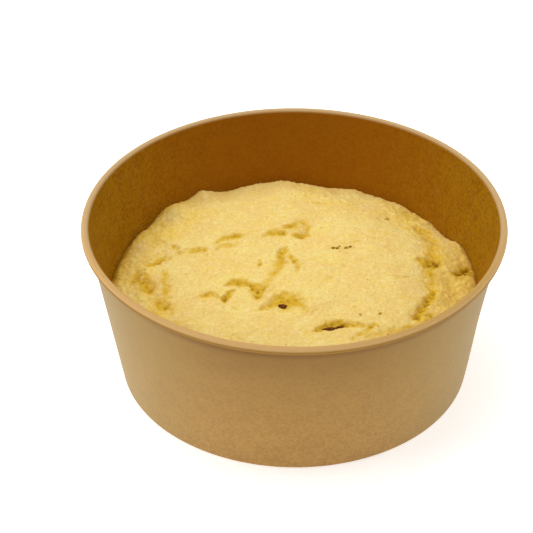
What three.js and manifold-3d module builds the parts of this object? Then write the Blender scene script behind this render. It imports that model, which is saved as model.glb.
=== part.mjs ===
// Hummus heaped in a round kraft-paper salad bowl with a rolled rim.
// Millimetres, +Z up, origin on the table under the middle of the bowl.
// The bowl is seen from -Y: +X is to the right and +Y is the far side.

import * as THREE from 'three';
import { mergeVertices } from 'three/addons/utils/BufferGeometryUtils.js';
import Module from 'manifold-3d';

const wasm = await Module();
wasm.setup();

const degrees = Math.PI / 180;

// The bowl
const rimRadius = 75; // to the outside of the rolled rim
const bowlHeight = 61;
const footRadius = 63;
const rollRadius = 1.4; // half the height of the rolled rim
const paper = 0.6; // thickness of the coated board
const hemHeight = 6; // the board is turned in at the foot, and carries the base
const hemThickness = 1.8; // three layers of board
const baseThickness = 0.8;
const gap = 0.3; // between pieces that touch
const bowlSides = 64;

// The hummus
const meanLevel = 30.8; // height at which the paste meets the wall
const moundRise = 7; // of the middle above that
const moundShape = 2.6; // higher is flatter in the middle and steeper near the wall
const nearWall = 66.5; // where the levels below are read
const meshRings = 36; // ring number k of the top surface has 6 k points

// Height of the paste at the wall, by angle from +X towards +Y.
const wallLevels = [
  { angle: 2, z: 27.7 },
  { angle: 21, z: 30.8 },
  { angle: 39, z: 29.7 },
  { angle: 56, z: 31.4 },
  { angle: 75, z: 31.5 },
  { angle: 92, z: 32.4 },
  { angle: 113, z: 33 },
  { angle: 127, z: 33.9 },
  { angle: 149, z: 31.9 },
  { angle: 159, z: 31 },
  { angle: 171, z: 29 },
  { angle: 190, z: 28.2 },
  { angle: 230, z: 29 },
  { angle: 270, z: 30.5 },
  { angle: 315, z: 29.5 },
];

// Where the edge of the paste stands higher or lower than that: an angle, a height, and how many
// degrees it spreads. These die away quickly towards the middle.
const wallLumps = [
  { angle: 22, height: 0.9, across: 4 },
  { angle: 29.5, height: -1.25, across: 4 },
  { angle: 40.5, height: 0.7, across: 3 },
  { angle: 47.5, height: 0.4, across: 4 },
  { angle: 58, height: -0.8, across: 5 },
  { angle: 70.5, height: 1, across: 3 },
  { angle: 83, height: -1.1, across: 4.5 },
  { angle: 89, height: -0.5, across: 2 },
  { angle: 94.3, height: 1.2, across: 3.4 },
  { angle: 102, height: 0.5, across: 3 },
  { angle: 108, height: 0.5, across: 3 },
  { angle: 113, height: -1.25, across: 4 },
  { angle: 120, height: 0.6, across: 2 },
  { angle: 123, height: 1.6, across: 2.4 },
  { angle: 136.5, height: 2.1, across: 4 },
  { angle: 148, height: -1.1, across: 4.5 },
  { angle: 160, height: -0.7, across: 4.5 },
];
const wallLumpFade = 9; // power of the share of the way out to the wall

// Folds in the top. Each is a groove along a line, seen from above, with a raised lip on the
// left of the line's direction, or on the right where the lip is below 0.
const folds = [
  // the edge of the last scoop on the right, then the sharper marks along it
  {
    line: [[45, 36], [49, 32], [51, 24], [50.5, 15], [48, 9], [47, 1], [49.5, -5], [46.5, -13], [43, -21]],
    width: 2.4, depth: 0.6, lip: 0.5,
  },
  { line: [[43.8, 11.2], [50.6, 10.8]], width: 1.5, depth: 1, lip: 0.3 },
  { line: [[50.8, -4.8], [46, -13.7], [42.6, -21.2]], width: 1.4, depth: 1, lip: 0.3 },
  { line: [[58.6, 8], [63.6, 11.9]], width: 1.6, depth: 1.2, lip: -0.3 },
  // the peak in the middle, with a groove down each side
  { line: [[-3.5, 15.3], [-5.6, 6.8], [-9.2, -5.9], [-12.8, -14.5]], width: 1.7, depth: 0.9, lip: 0.3 },
  { line: [[-2.4, 9.7], [-0.4, 6.2], [1.2, -2]], width: 1.3, depth: 0.8, lip: 0.3 },
  // the broad dab in front of it, and its smaller neighbour
  { line: [[-24, -8], [-21.5, -6], [-17.5, -6.4], [-13.2, -11.2]], width: 1.7, depth: 1.2, lip: 0.4 },
  { line: [[-32, -14.3], [-29.3, -13.2], [-25, -16.2], [-22, -11.2]], width: 1.3, depth: 0.9, lip: 0.3 },
  // the round dab behind, and the short presses beside it
  { line: [[-0.6, 23.3], [1.9, 22.5], [4.5, 28.4], [3, 32]], width: 1.3, depth: 0.8, lip: 0 },
  { line: [[-10.8, 22.4], [-8.4, 24.2], [-4.4, 24.4]], width: 1.4, depth: 0.9, lip: 0.3 },
  { line: [[-29.3, 17.9], [-26.4, 21.1], [-20.4, 22.4]], width: 1.3, depth: 0.7, lip: 0.3 },
  { line: [[-28.2, 14.4], [-21.9, 17.9]], width: 1.2, depth: 0.6, lip: 0.2 },
  // on the left, from behind to the front
  { line: [[-42.4, 14], [-38, 14.7], [-33.2, 14.2]], width: 1.3, depth: 0.8, lip: 0.2 },
  { line: [[-53.5, 8.1], [-50.3, 10.1], [-47.5, 13.4]], width: 1.4, depth: 1.1, lip: 0.3 },
  { line: [[-56.5, 4.7], [-56, 0], [-53, -4], [-50.5, -7.8]], width: 2.6, depth: 0.8, lip: 0.4 },
  { line: [[-46.2, 4.4], [-45, -5.8], [-45.8, -16.4]], width: 1.3, depth: 0.6, lip: -0.5 },
  { line: [[-49.5, -13.8], [-44, -19.7]], width: 2.2, depth: 0.8, lip: 0.3 },
  // round the hollow and the streak that hold the dark bits
  {
    line: [[-11.8, -21.2], [-6, -15.5], [-3, -13.7], [0.9, -14.9], [4.4, -23]],
    width: 1.6, depth: 1, lip: 0.4,
  },
  { line: [[8.5, -31.8], [12.3, -29.7], [16.6, -28.3], [23.6, -29.2]], width: 1.5, depth: 0.9, lip: 0.3 },
  // near the front on the right
  { line: [[28, -28.2], [26.6, -29.6], [19.7, -37.1]], width: 1.3, depth: 0.9, lip: 0.3 },
];

// In a fold's widths: where its lip runs, how broad that is, and how far the fold reaches.
const foldShape = { lipAt: 1.8, lipWidth: 1.3, reach: 4 };
const foldEnds = { from: -0.15, to: 0.25 }; // shares of its length over which it fades in and out

// Round dabs that stand up, and hollows, where the height is negative.
const dabs = [
  { x: 1.4, y: 26, across: 4.2, height: 0.9 },
  { x: -2.4, y: 6.4, across: 3.4, height: 0.6 },
  { x: -3.4, y: -19.2, across: 6, height: -0.8 },
  { x: 62.2, y: 3.4, across: 7, height: 1.1 },
  { x: -46, y: 26, across: 12, height: 0.8 },
  { x: 20, y: 36, across: 16, height: 0.7 },
  { x: -22, y: -38, across: 16, height: 1 },
  { x: 26, y: 8, across: 22, height: 0.7 },
];

// Small bits caught in the top: dark flakes first, then specks of green.
const bits = [
  { x: -4.2, y: -19.3, length: 3.1, width: 2.2, thickness: 1.6, turn: 0 },
  { x: 13.4, y: -30.8, length: 7.8, width: 1.8, thickness: 1.6, turn: 18 },
  { x: 14.6, y: 14.2, length: 2.4, width: 1.5, thickness: 1.2, turn: -20 },
  { x: 19.2, y: 14.5, length: 2.7, width: 1.4, thickness: 1.2, turn: 25 },
  { x: 34.2, y: 38.6, length: 1.6, width: 1.4, thickness: 1.2, turn: 60 },
  { x: 29.8, y: -21.8, length: 1.6, width: 1.4, thickness: 1.2, turn: 80 },
];
const bitRaise = 0.1; // of its thickness, from the paste up to its middle

// Unevenness all over: the size of the lumps, their height, and how much more they stand up
// in the rough ring along the wall.
const unevenness = [
  { size: 15, height: 0.9, atWall: 1 },
  { size: 7, height: 0.35, atWall: 1.4 },
  { size: 4, height: 0.15, atWall: 1.8 },
];
const roughRing = { from: 44, to: 54 };

// The paste rounds over where it meets the wall: how far in that starts, and how far it drops.
const shoulder = { across: 2.4, drop: 1 };

const kraft = { color: '#b08a5a', roughness: 0.85, metalness: 0 };
const chickpea = { color: '#ecc97e', roughness: 0.6, metalness: 0 };

function material(name, finish) {
  const made = new THREE.MeshStandardMaterial(finish);
  made.name = name;
  return made;
}

// Radius of the wall's outer face at a height.
function outerRadius(z) {
  const topRadius = rimRadius - 2 * rollRadius + paper;
  return footRadius + ((topRadius - footRadius) * z) / (bowlHeight - rollRadius);
}

function innerRadius(z) {
  return outerRadius(z) - paper;
}

// Points of an arc about a centre in a profile, angles in degrees.
function arc(centreR, centreZ, radius, from, to, steps) {
  const points = [];
  for (let i = 0; i <= steps; i++) {
    const angle = (from + ((to - from) * i) / steps) * degrees;
    points.push([centreR + radius * Math.cos(angle), centreZ + radius * Math.sin(angle)]);
  }
  return points;
}

function lathe(profile) {
  const outline = profile.map(([r, z]) => new THREE.Vector2(r, z));
  const geometry = new THREE.LatheGeometry(outline, bowlSides);
  geometry.rotateX(Math.PI / 2);
  return geometry;
}

// One wall with its foot turned in and its rim rolled outwards. The profile goes up the outside,
// round the hollow of the roll to its free edge, back over the top, and down the inside.
function wallGeometry() {
  const rollR = rimRadius - rollRadius;
  const rollZ = bowlHeight - rollRadius;
  const freeEdge = -120; // degrees round the roll, just short of the wall
  const profile = [
    [outerRadius(0) - hemThickness, 0],
    [outerRadius(0), 0],
    ...arc(rollR, rollZ, rollRadius - paper, 180, freeEdge, 6),
    ...arc(rollR, rollZ, rollRadius, freeEdge, 180, 10),
    [innerRadius(hemHeight), hemHeight],
    [outerRadius(hemHeight) - hemThickness, hemHeight],
    [outerRadius(0) - hemThickness, 0],
  ];
  return lathe(profile);
}

// The base rests on the turned-in foot and fills the wall from side to side.
function baseGeometry() {
  const low = hemHeight + gap;
  const high = low + baseThickness;
  const profile = [
    [0, low],
    [innerRadius(low) - gap, low],
    [innerRadius(high) - gap, high],
    [0, high],
  ];
  return lathe(profile);
}

// A step from 0 to 1 that starts and ends level.
function ease(from, to, value) {
  const t = Math.min(Math.max((value - from) / (to - from), 0), 1);
  return t * t * (3 - 2 * t);
}

function wallLevel(angle) {
  const turn = ((angle / degrees) % 360 + 360) % 360;
  const first = wallLevels[0];
  const last = wallLevels[wallLevels.length - 1];
  const before = { angle: last.angle - 360, z: last.z };
  const stops = [before, ...wallLevels, { angle: first.angle + 360, z: first.z }];
  const next = stops.findIndex((stop) => stop.angle > turn);
  const low = stops[next - 1];
  const high = stops[next];
  return low.z + (high.z - low.z) * ease(low.angle, high.angle, turn);
}

// A repeatable random number from -1 to 1 for a grid corner.
function cornerValue(i, j, seed) {
  const wave = Math.sin(i * 127.1 + j * 311.7 + seed * 74.7) * 43758.5453;
  return 2 * (wave - Math.floor(wave)) - 1;
}

// Smooth lumps of one size, on a grid turned by the seed so that no two grids line up.
function lumps(x, y, size, seed) {
  const c = Math.cos(seed);
  const s = Math.sin(seed);
  const gx = (x * c - y * s) / size;
  const gy = (x * s + y * c) / size;
  const i = Math.floor(gx);
  const j = Math.floor(gy);
  const u = ease(0, 1, gx - i);
  const v = ease(0, 1, gy - j);
  const front = cornerValue(i, j, seed) * (1 - u) + cornerValue(i + 1, j, seed) * u;
  const behind = cornerValue(i, j + 1, seed) * (1 - u) + cornerValue(i + 1, j + 1, seed) * u;
  return front * (1 - v) + behind * v;
}

// Distance from a point to a fold's line, positive on the left, and how far along it is.
function beside(line, x, y) {
  let nearest = { distance: Infinity, side: 1, along: 0 };
  const spans = line.length - 1;
  for (let i = 0; i < spans; i++) {
    const [ax, ay] = line[i];
    const [bx, by] = line[i + 1];
    const dx = bx - ax;
    const dy = by - ay;
    const t = Math.min(Math.max(((x - ax) * dx + (y - ay) * dy) / (dx * dx + dy * dy), 0), 1);
    const distance = Math.hypot(x - ax - t * dx, y - ay - t * dy);
    if (distance < nearest.distance) {
      const side = Math.sign(dx * (y - ay) - dy * (x - ax)) || 1;
      nearest = { distance, side, along: (i + t) / spans };
    }
  }
  return nearest;
}

function bell(value) {
  return Math.exp(-value * value);
}

function foldHeight(fold, x, y) {
  const { distance, side, along } = beside(fold.line, x, y);
  if (distance > foldShape.reach * fold.width) return 0;
  const { from, to } = foldEnds;
  const fade = ease(from, to, along) * ease(from, to, 1 - along);
  const lipAt = foldShape.lipAt * fold.width * Math.sign(fold.lip);
  const groove = -fold.depth * bell(distance / fold.width);
  const lip = Math.abs(fold.lip) * bell((distance * side - lipAt) / (foldShape.lipWidth * fold.width));
  return fade * (groove + lip);
}

// The lumps along the wall at an angle, as a height.
function wallLumpHeight(angle) {
  let height = 0;
  for (const lump of wallLumps) {
    const away = ((((angle / degrees - lump.angle + 180) % 360) + 360) % 360) - 180;
    height += lump.height * bell(away / lump.across);
  }
  return height;
}

function hummusHeight(x, y) {
  const r = Math.hypot(x, y);
  const angle = Math.atan2(y, x);
  const u = Math.min(r / nearWall, 1);
  let z = meanLevel + (wallLevel(angle) - meanLevel) * u ** 3;
  z += moundRise * (1 - u ** moundShape) + wallLumpHeight(angle) * u ** wallLumpFade;
  for (const fold of folds) z += foldHeight(fold, x, y);
  for (const dab of dabs) z += dab.height * bell((2 * Math.hypot(x - dab.x, y - dab.y)) / dab.across);
  const wallward = ease(roughRing.from, roughRing.to, r);
  unevenness.forEach(({ size, height, atWall }, i) => {
    z += height * (1 + (atWall - 1) * wallward) * lumps(x, y, size, i + 1);
  });
  return z - shoulder.drop * ease(nearWall - shoulder.across, nearWall, r) ** 2;
}

// Number of the first point of a ring: the middle is point 0, and ring k has 6 k points.
function ringStart(k) {
  return k === 0 ? 0 : 1 + 3 * k * (k - 1);
}

function edgeRadius(angle) {
  const z = hummusHeight(nearWall * Math.cos(angle), nearWall * Math.sin(angle));
  return innerRadius(z) - gap;
}

// Points of the top surface, ring by ring, out to the wall.
function topPoints() {
  const points = [[0, 0, hummusHeight(0, 0)]];
  for (let k = 1; k <= meshRings; k++) {
    for (let i = 0; i < 6 * k; i++) {
      const angle = (i / (6 * k)) * 2 * Math.PI;
      const r = (edgeRadius(angle) * k) / meshRings;
      const x = r * Math.cos(angle);
      const y = r * Math.sin(angle);
      points.push([x, y, hummusHeight(x, y)]);
    }
  }
  return points;
}

// Triangles between each ring and the next one in, sector by sector.
function topTriangles() {
  const triangles = [];
  for (let k = 1; k <= meshRings; k++) {
    const outer = (n) => ringStart(k) + (n % (6 * k));
    const inner = (n) => (k === 1 ? 0 : ringStart(k - 1) + (n % (6 * (k - 1))));
    for (let sector = 0; sector < 6; sector++) {
      for (let i = 0; i < k; i++) {
        const out = sector * k + i;
        const within = sector * (k - 1) + i;
        triangles.push([outer(out), outer(out + 1), inner(within)]);
        if (i < k - 1) triangles.push([inner(within), outer(out + 1), inner(within + 1)]);
      }
    }
  }
  return triangles;
}

// The body of the paste, from the base up to its uneven top.
function pasteGeometry() {
  const floor = hemHeight + gap + baseThickness + gap;
  const floorRadius = innerRadius(floor) - gap;
  const around = 6 * meshRings;
  const points = topPoints();
  const triangles = topTriangles();
  const edge = ringStart(meshRings);
  const bottom = points.length;
  for (let i = 0; i < around; i++) {
    const angle = (i / around) * 2 * Math.PI;
    points.push([floorRadius * Math.cos(angle), floorRadius * Math.sin(angle), floor]);
  }
  const middle = points.length;
  points.push([0, 0, floor]);
  for (let i = 0; i < around; i++) {
    const next = (i + 1) % around;
    triangles.push([edge + i, bottom + i, bottom + next]);
    triangles.push([edge + i, bottom + next, edge + next]);
    triangles.push([middle, bottom + next, bottom + i]);
  }
  const geometry = new THREE.BufferGeometry();
  geometry.setAttribute('position', new THREE.Float32BufferAttribute(points.flat(), 3));
  geometry.setIndex(triangles.flat());
  return geometry;
}

// A bit is a small flattened ball, sunk nearly to its middle in the paste.
function bitGeometry(bit) {
  const ball = new THREE.SphereGeometry(0.5, 8, 5);
  ball.rotateX(Math.PI / 2);
  ball.scale(bit.length, bit.width, bit.thickness);
  ball.rotateZ(bit.turn * degrees);
  ball.translate(bit.x, bit.y, hummusHeight(bit.x, bit.y) + bitRaise * bit.thickness);
  return ball;
}

// A closed mesh as a solid that can be joined to others.
function solid(geometry) {
  const bare = geometry.clone();
  bare.deleteAttribute('normal');
  bare.deleteAttribute('uv');
  const merged = mergeVertices(bare);
  const vertProperties = new Float32Array(merged.attributes.position.array);
  const triVerts = new Uint32Array(merged.index.array);
  return new wasm.Manifold(new wasm.Mesh({ numProp: 3, vertProperties, triVerts }));
}

function geometryOf(joined) {
  const { vertProperties, triVerts } = joined.getMesh();
  const geometry = new THREE.BufferGeometry();
  geometry.setAttribute('position', new THREE.BufferAttribute(vertProperties, 3));
  geometry.setIndex(new THREE.BufferAttribute(triVerts, 1));
  geometry.computeVertexNormals();
  return geometry;
}

function hummusGeometry() {
  let joined = solid(pasteGeometry());
  for (const bit of bits) joined = joined.add(solid(bitGeometry(bit)));
  return geometryOf(joined);
}

function piece(name, geometry, finish) {
  const mesh = new THREE.Mesh(geometry, finish);
  mesh.name = name;
  return mesh;
}

const kraftPaper = material('kraft_paper', kraft);
const paste = material('hummus', chickpea);

const hummusBowl = new THREE.Group();
hummusBowl.add(piece('bowl_wall', wallGeometry(), kraftPaper));
hummusBowl.add(piece('bowl_base', baseGeometry(), kraftPaper));
hummusBowl.add(piece('hummus', hummusGeometry(), paste));

export default hummusBowl;
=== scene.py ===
import math
import bmesh
import bpy
import numpy as np
from mathutils import Matrix, Vector


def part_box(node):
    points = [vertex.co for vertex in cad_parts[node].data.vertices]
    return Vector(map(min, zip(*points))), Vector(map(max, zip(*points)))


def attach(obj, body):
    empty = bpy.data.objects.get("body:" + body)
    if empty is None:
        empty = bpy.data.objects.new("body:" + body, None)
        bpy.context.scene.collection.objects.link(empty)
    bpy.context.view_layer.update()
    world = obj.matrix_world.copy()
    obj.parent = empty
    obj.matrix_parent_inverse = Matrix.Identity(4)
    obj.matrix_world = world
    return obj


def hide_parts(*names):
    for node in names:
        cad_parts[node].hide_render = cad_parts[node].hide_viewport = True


# Hummus heaped in a round kraft-paper salad bowl, with -Y towards the viewer.
# Shapes are worked out in millimetres and become metres as each mesh is made.

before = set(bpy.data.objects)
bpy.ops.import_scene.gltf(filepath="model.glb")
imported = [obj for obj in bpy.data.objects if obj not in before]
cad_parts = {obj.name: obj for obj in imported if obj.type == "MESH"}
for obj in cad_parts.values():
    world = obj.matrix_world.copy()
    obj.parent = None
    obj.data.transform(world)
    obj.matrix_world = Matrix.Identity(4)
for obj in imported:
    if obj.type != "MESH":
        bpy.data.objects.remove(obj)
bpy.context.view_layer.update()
print("frame loaded:", ", ".join(sorted(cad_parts)))

mm = 0.001
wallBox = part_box("bowl_wall")
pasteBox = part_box("hummus")


def addPiece(name, mesh, finishes):
    mesh.shade_smooth()
    for finish in finishes:
        mesh.materials.append(finish)
    piece = bpy.data.objects.new(name, mesh)
    bpy.context.scene.collection.objects.link(piece)
    return piece


def meshPiece(name, points, faces, finishes):
    mesh = bpy.data.meshes.new(name)
    mesh.from_pydata((np.asarray(points) * mm).tolist(), [], faces)
    mesh.update()
    return addPiece(name, mesh, finishes)


# keeps a value at each point of a piece, for its material to read
def storeValues(piece, name, values):
    attribute = piece.data.attributes.new(name, "FLOAT", "POINT")
    attribute.data.foreach_set("value", np.asarray(values, np.float32))


# 0 at low, 1 at high, and level beyond both; low may be the greater of the two
def ease(low, high, value):
    t = np.clip((value - low) / (high - low), 0, 1)
    return t * t * (3 - 2 * t)


# 1 at 0, and about a third at 1
def bell(value):
    return np.exp(-value * value)


# 1 at an angle in degrees, and less to either side of it
def near(angle, degrees, across):
    away = (np.degrees(angle) - degrees + 180) % 360 - 180
    return bell(away / across)


# a repeatable random number from -1 to 1 for each grid corner
def cornerValue(i, j, seed):
    wave = np.sin(i * 127.1 + j * 311.7 + seed * 74.7) * 43758.5453
    return 2 * (wave - np.floor(wave)) - 1


# smooth lumps of one size, on a grid turned by the seed so that no two grids line up
def lumps(x, y, size, seed):
    c, s = math.cos(seed), math.sin(seed)
    gx, gy = (x * c - y * s) / size, (x * s + y * c) / size
    i, j = np.floor(gx), np.floor(gy)
    u, v = ease(0, 1, gx - i), ease(0, 1, gy - j)
    front = cornerValue(i, j, seed) * (1 - u) + cornerValue(i + 1, j, seed) * u
    behind = cornerValue(i, j + 1, seed) * (1 - u) + cornerValue(i + 1, j + 1, seed) * u
    return front * (1 - v) + behind * v


# lumps of several sizes together: each layer is a size, a height and a seed
def layered(x, y, layers):
    return sum(height * lumps(x, y, size, seed) for size, height, seed in layers)


# a socket in a material, so that shader maths reads as arithmetic
class Wire:
    def __init__(self, tree, socket=None):
        self.tree = tree
        self.socket = socket

    # adds a node: its type, its settings, then the values or links of its sockets
    def node(self, kind, settings=None, sockets=None, output=0):
        made = self.tree.nodes.new("ShaderNode" + kind)
        for name, value in (settings or {}).items():
            setattr(made, name, value)
        for name, value in (sockets or {}).items():
            if isinstance(value, Wire):
                self.tree.links.new(value.socket, made.inputs[name])
            else:
                made.inputs[name].default_value = value
        return Wire(self.tree, made.outputs[output])

    def maths(self, operation, *values):
        return self.node("Math", {"operation": operation}, dict(enumerate(values)))

    def __add__(self, other):
        return self.maths("ADD", self, other)

    def __sub__(self, other):
        return self.maths("SUBTRACT", self, other)

    def __rsub__(self, other):
        return self.maths("SUBTRACT", other, self)

    def __mul__(self, other):
        return self.maths("MULTIPLY", self, other)

    def __neg__(self):
        return self.maths("MULTIPLY", self, -1.0)

    def __abs__(self):
        return self.maths("ABSOLUTE", self)

    __radd__ = __add__
    __rmul__ = __mul__

    # 0 to 1 as the value goes from low to high
    def between(self, low, high):
        settings = {"interpolation_type": "SMOOTHSTEP"}
        return self.node("MapRange", settings, {0: self, 1: low, 2: high, 3: 0.0, 4: 1.0})

    # the same for a place, with both ends of the span in millimetres
    def within(self, span):
        return self.between(span[0] * mm, span[1] * mm)

    # this colour turned into another by a share
    def towards(self, colour, share):
        other = colour if isinstance(colour, Wire) else linear(colour)
        return self.node("Mix", {"data_type": "RGBA"}, {0: share, 6: self, 7: other}, 2)

    # a tint, which is a colour and its largest share, laid on where a mask is above 0
    def tinted(self, tint, mask):
        colour, share = tint
        return self.towards(colour, mask * share)


# a screen colour from 0 to 255 as the shader's linear one
def linear(colour):
    parts = [c / 255 / 12.92 if c < 11 else ((c / 255 + 0.055) / 1.055) ** 2.4 for c in colour]
    return (*parts, 1.0)


# a material of one Principled shader: what is the same all over is given here, by socket name
class Finish:
    def __init__(self, name, constants):
        self.material = bpy.data.materials.new(name)
        self.material.use_nodes = True
        tree = self.material.node_tree
        tree.nodes.clear()
        self.shader = tree.nodes.new("ShaderNodeBsdfPrincipled")
        output = tree.nodes.new("ShaderNodeOutputMaterial")
        tree.links.new(self.shader.outputs[0], output.inputs[0])
        for socket, value in constants.items():
            self.shader.inputs[socket].default_value = value
        self.wire = Wire(tree)
        self.place = self.wire.node("TexCoord", {}, {}, "Object")

    # where a point is along an axis: 0, 1 and 2 are x, y and z
    def along(self, axis):
        return self.wire.node("SeparateXYZ", {}, {0: self.place}, axis)

    # gives a socket of the shader a value that changes over the piece
    def feed(self, socket, wire):
        self.wire.tree.links.new(wire.socket, self.shader.inputs[socket])

    # cloudy noise from 0 to 1, with patches of a size in millimetres
    def noise(self, size, detail=2.0, roughness=0.5, stretch=None):
        place = self.place
        if stretch:
            place = self.wire.node("Mapping", {}, {"Vector": place, "Scale": stretch})
        sockets = {"Vector": place, "Scale": 1 / (size * mm), "Detail": detail, "Roughness": roughness}
        return self.wire.node("TexNoise", {}, sockets)

    # distance from the nearest of many scattered points, in cells of a size in millimetres
    def spots(self, size):
        return self.wire.node("TexVoronoi", {}, {"Vector": self.place, "Scale": 1 / (size * mm)})

    # a value that the piece keeps at its points
    def stored(self, name):
        return self.wire.node("Attribute", {"attribute_name": name}, {}, "Fac")

    # the colours at 0 and 1 of a share
    def blend(self, share, low, high):
        sockets = {0: share, 6: linear(low), 7: linear(high)}
        return self.wire.node("Mix", {"data_type": "RGBA"}, sockets, 2)

    # relief drawn by a bump, its depth in millimetres
    def relief(self, height, depth, strength):
        sockets = {"Height": height, "Distance": depth * mm, "Strength": strength}
        self.feed("Normal", self.wire.node("Bump", {}, sockets))


camera = {
    "distance": 674.6,  # from the point that it turns about
    "aimHeight": 30.0,
    "elevation": 36.243,  # degrees above the horizon
    "pan": 0.865,  # small turns about its own axes, in degrees
    "tilt": 0.646,
    "roll": -0.581,
    "lens": 126.85,
    "sensor": 36.0,
}


def makeCamera():
    elevation = math.radians(camera["elevation"])
    back = Vector((0, -math.cos(elevation), math.sin(elevation)))
    place = (back * camera["distance"] + Vector((0, 0, camera["aimHeight"]))) * mm
    right = Vector((1, 0, 0))
    up = back.cross(right)
    turn = Matrix.Rotation(math.radians(camera["pan"]), 3, up)
    back, right = turn @ back, turn @ right
    turn = Matrix.Rotation(math.radians(camera["tilt"]), 3, right)
    back, up = turn @ back, turn @ up
    turn = Matrix.Rotation(math.radians(camera["roll"]), 3, -back)
    right, up = turn @ right, turn @ up
    data = bpy.data.cameras.new("camera")
    data.lens = camera["lens"]
    data.sensor_width = camera["sensor"]
    viewer = bpy.data.objects.new("camera", data)
    axes = Matrix((right, up, back)).transposed()
    viewer.matrix_world = Matrix.Translation(place) @ axes.to_4x4()
    bpy.context.scene.collection.objects.link(viewer)
    bpy.context.scene.camera = viewer


makeCamera()
print("camera placed")


bowl = {
    "rimRadius": wallBox[1].x / mm,
    "height": wallBox[1].z / mm,
    "footShare": 0.84,  # of the rim's radius
    "roll": 1.4,  # half the height of the rolled rim
    "freeEdge": -125,  # degrees round the roll, from outside over the top, where the board ends
    "paper": 0.6,  # thickness of the board
    "hemHeight": 6.0,  # the board is turned in at the foot
    "hemThickness": 1.8,
    "foldRadius": 0.5,  # of the fold at the foot
    "points": 288,  # of each ring of the wall
    "wave": 0.12,  # how far the wall is from truly round
    "waveIn": 1.5,  # it is drawn in by this many times that, to stay inside its box
    "squeeze": 1.0,  # the wall is pressed in this far on the right
    "squeezeAt": -8,  # degrees from +X
    "squeezeAcross": 31,
    "squeezeHeight": 34,  # it grows from the foot up to here
    "dip": 0.85,  # the rim is this much lower in front
    "dipAt": -75,
    "dipAcross": 42,
    "dipFrom": 20,  # height at which it starts
    # degrees round the roll where each of its colours starts or ends: its own, the painted light of its
    # outer side, and the painted shade beneath
    "rimEnds": (122, 172),
    "browLightEnds": (75, 35),
    "underShadeEnds": (26, 6),
}
bowl["footRadius"] = bowl["footShare"] * bowl["rimRadius"]


def outerRadius(z):
    top = bowl["rimRadius"] - 2 * bowl["roll"] + bowl["paper"]
    return bowl["footRadius"] + (top - bowl["footRadius"]) * z / (bowl["height"] - bowl["roll"])


def innerRadius(z):
    return outerRadius(z) - bowl["paper"]


def arc(centreR, centreZ, radius, start, end, steps):
    angles = np.radians(np.linspace(start, end, steps + 1))
    return np.column_stack([centreR + radius * np.cos(angles), centreZ + radius * np.sin(angles)])


def straight(start, end, steps):
    return np.linspace(start, end, steps + 1)


# the board's two faces as one closed profile, with a mark for the inner, coated face
def wallProfile():
    rollR, rollZ = bowl["rimRadius"] - bowl["roll"], bowl["height"] - bowl["roll"]
    fold, hem, freeEdge = bowl["foldRadius"], bowl["hemHeight"], bowl["freeEdge"]
    hemInside = bowl["footRadius"] - bowl["hemThickness"]
    foldR = bowl["footRadius"] - fold + 0.07  # so that the fold runs on into the sloping wall
    low, high, overHem = 1.2, rollZ - 1, hem + 2  # ends of the straight stretches
    outside = [
        arc(hemInside + fold, fold, fold, 180, 270, 4),
        arc(foldR, fold, fold, 270, 352, 5),
        straight((outerRadius(low), low), (outerRadius(high), high), 20),
        arc(rollR, rollZ, bowl["roll"] - bowl["paper"], 175, freeEdge, 14),
    ]
    inside = [
        arc(rollR, rollZ, bowl["roll"], freeEdge, 180, 24),
        straight((innerRadius(high), high), (innerRadius(overHem), overHem), 20),
        straight((innerRadius(hem + 1), hem + 0.4), (hemInside, hem), 2),
    ]
    points = np.vstack(outside + inside)
    isInside = np.zeros(len(points), bool)
    isInside[sum(map(len, outside)):] = True
    return points, isInside


# shares of the rolled rim's colours at each point of the profile: the rim's own, which ends on the side
# that faces into the bowl, the painted light that makes its outer side paler, and the painted shade that
# makes it darker beneath that
def rimShares(profile, isInside):
    away = profile - (bowl["rimRadius"] - bowl["roll"], bowl["height"] - bowl["roll"])
    onRoll = isInside & (np.hypot(*away.T) < bowl["roll"] + 0.1)
    turn = np.degrees(np.arctan2(away[:, 1], away[:, 0]))
    inward = ease(*bowl["rimEnds"], turn)
    outward = ease(*bowl["browLightEnds"], turn) * (abs(turn) < bowl["browLightEnds"][0])
    beneath = ease(*bowl["underShadeEnds"], turn)
    return {"rim": onRoll * (1 - inward), "paintedBrow": onRoll * outward, "under": onRoll * beneath}


# the board is never quite round: long soft waves, and a press on one side of the rim
def wallWave(angle, z):
    rise = 0.4 + 0.6 * z / bowl["height"]
    wave = np.sin(2 * angle + 0.6) + 0.6 * np.sin(3 * angle + 2.1) + 0.3 * np.sin(7 * angle + z / 23)
    squeeze = bowl["squeeze"] * near(angle, bowl["squeezeAt"], bowl["squeezeAcross"])
    inward = squeeze * ease(0, bowl["squeezeHeight"], z)
    return bowl["wave"] * rise * (wave - bowl["waveIn"]) - inward


# how far it sinks in front, most at the rim and less down the wall
def wallDip(angle, z):
    share = ease(bowl["dipFrom"], bowl["height"], z)
    return bowl["dip"] * near(angle, bowl["dipAt"], bowl["dipAcross"]) * share


def makeWall(finishes):
    profile, isInside = wallProfile()
    count, steps = len(profile), bowl["points"]
    angles = np.linspace(0, 2 * np.pi, steps, endpoint=False)[:, None]
    z = profile[None, :, 1]
    radius = profile[None, :, 0] + wallWave(angles, z)
    x, y = radius * np.cos(angles), radius * np.sin(angles)
    points = np.stack([x, y, z - wallDip(angles, z)], -1).reshape(-1, 3)
    faces, finishOf = [], []
    for a in range(steps):
        b = (a + 1) % steps
        for i in range(count):
            j = (i + 1) % count
            faces.append((a * count + i, b * count + i, b * count + j, a * count + j))
            finishOf.append(int(isInside[i]))
    wall = meshPiece("bowlWall", points, faces, finishes)
    wall.data.polygons.foreach_set("material_index", finishOf)
    for name, share in rimShares(profile, isInside).items():
        storeValues(wall, name, np.tile(share, steps))
    return wall


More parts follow.
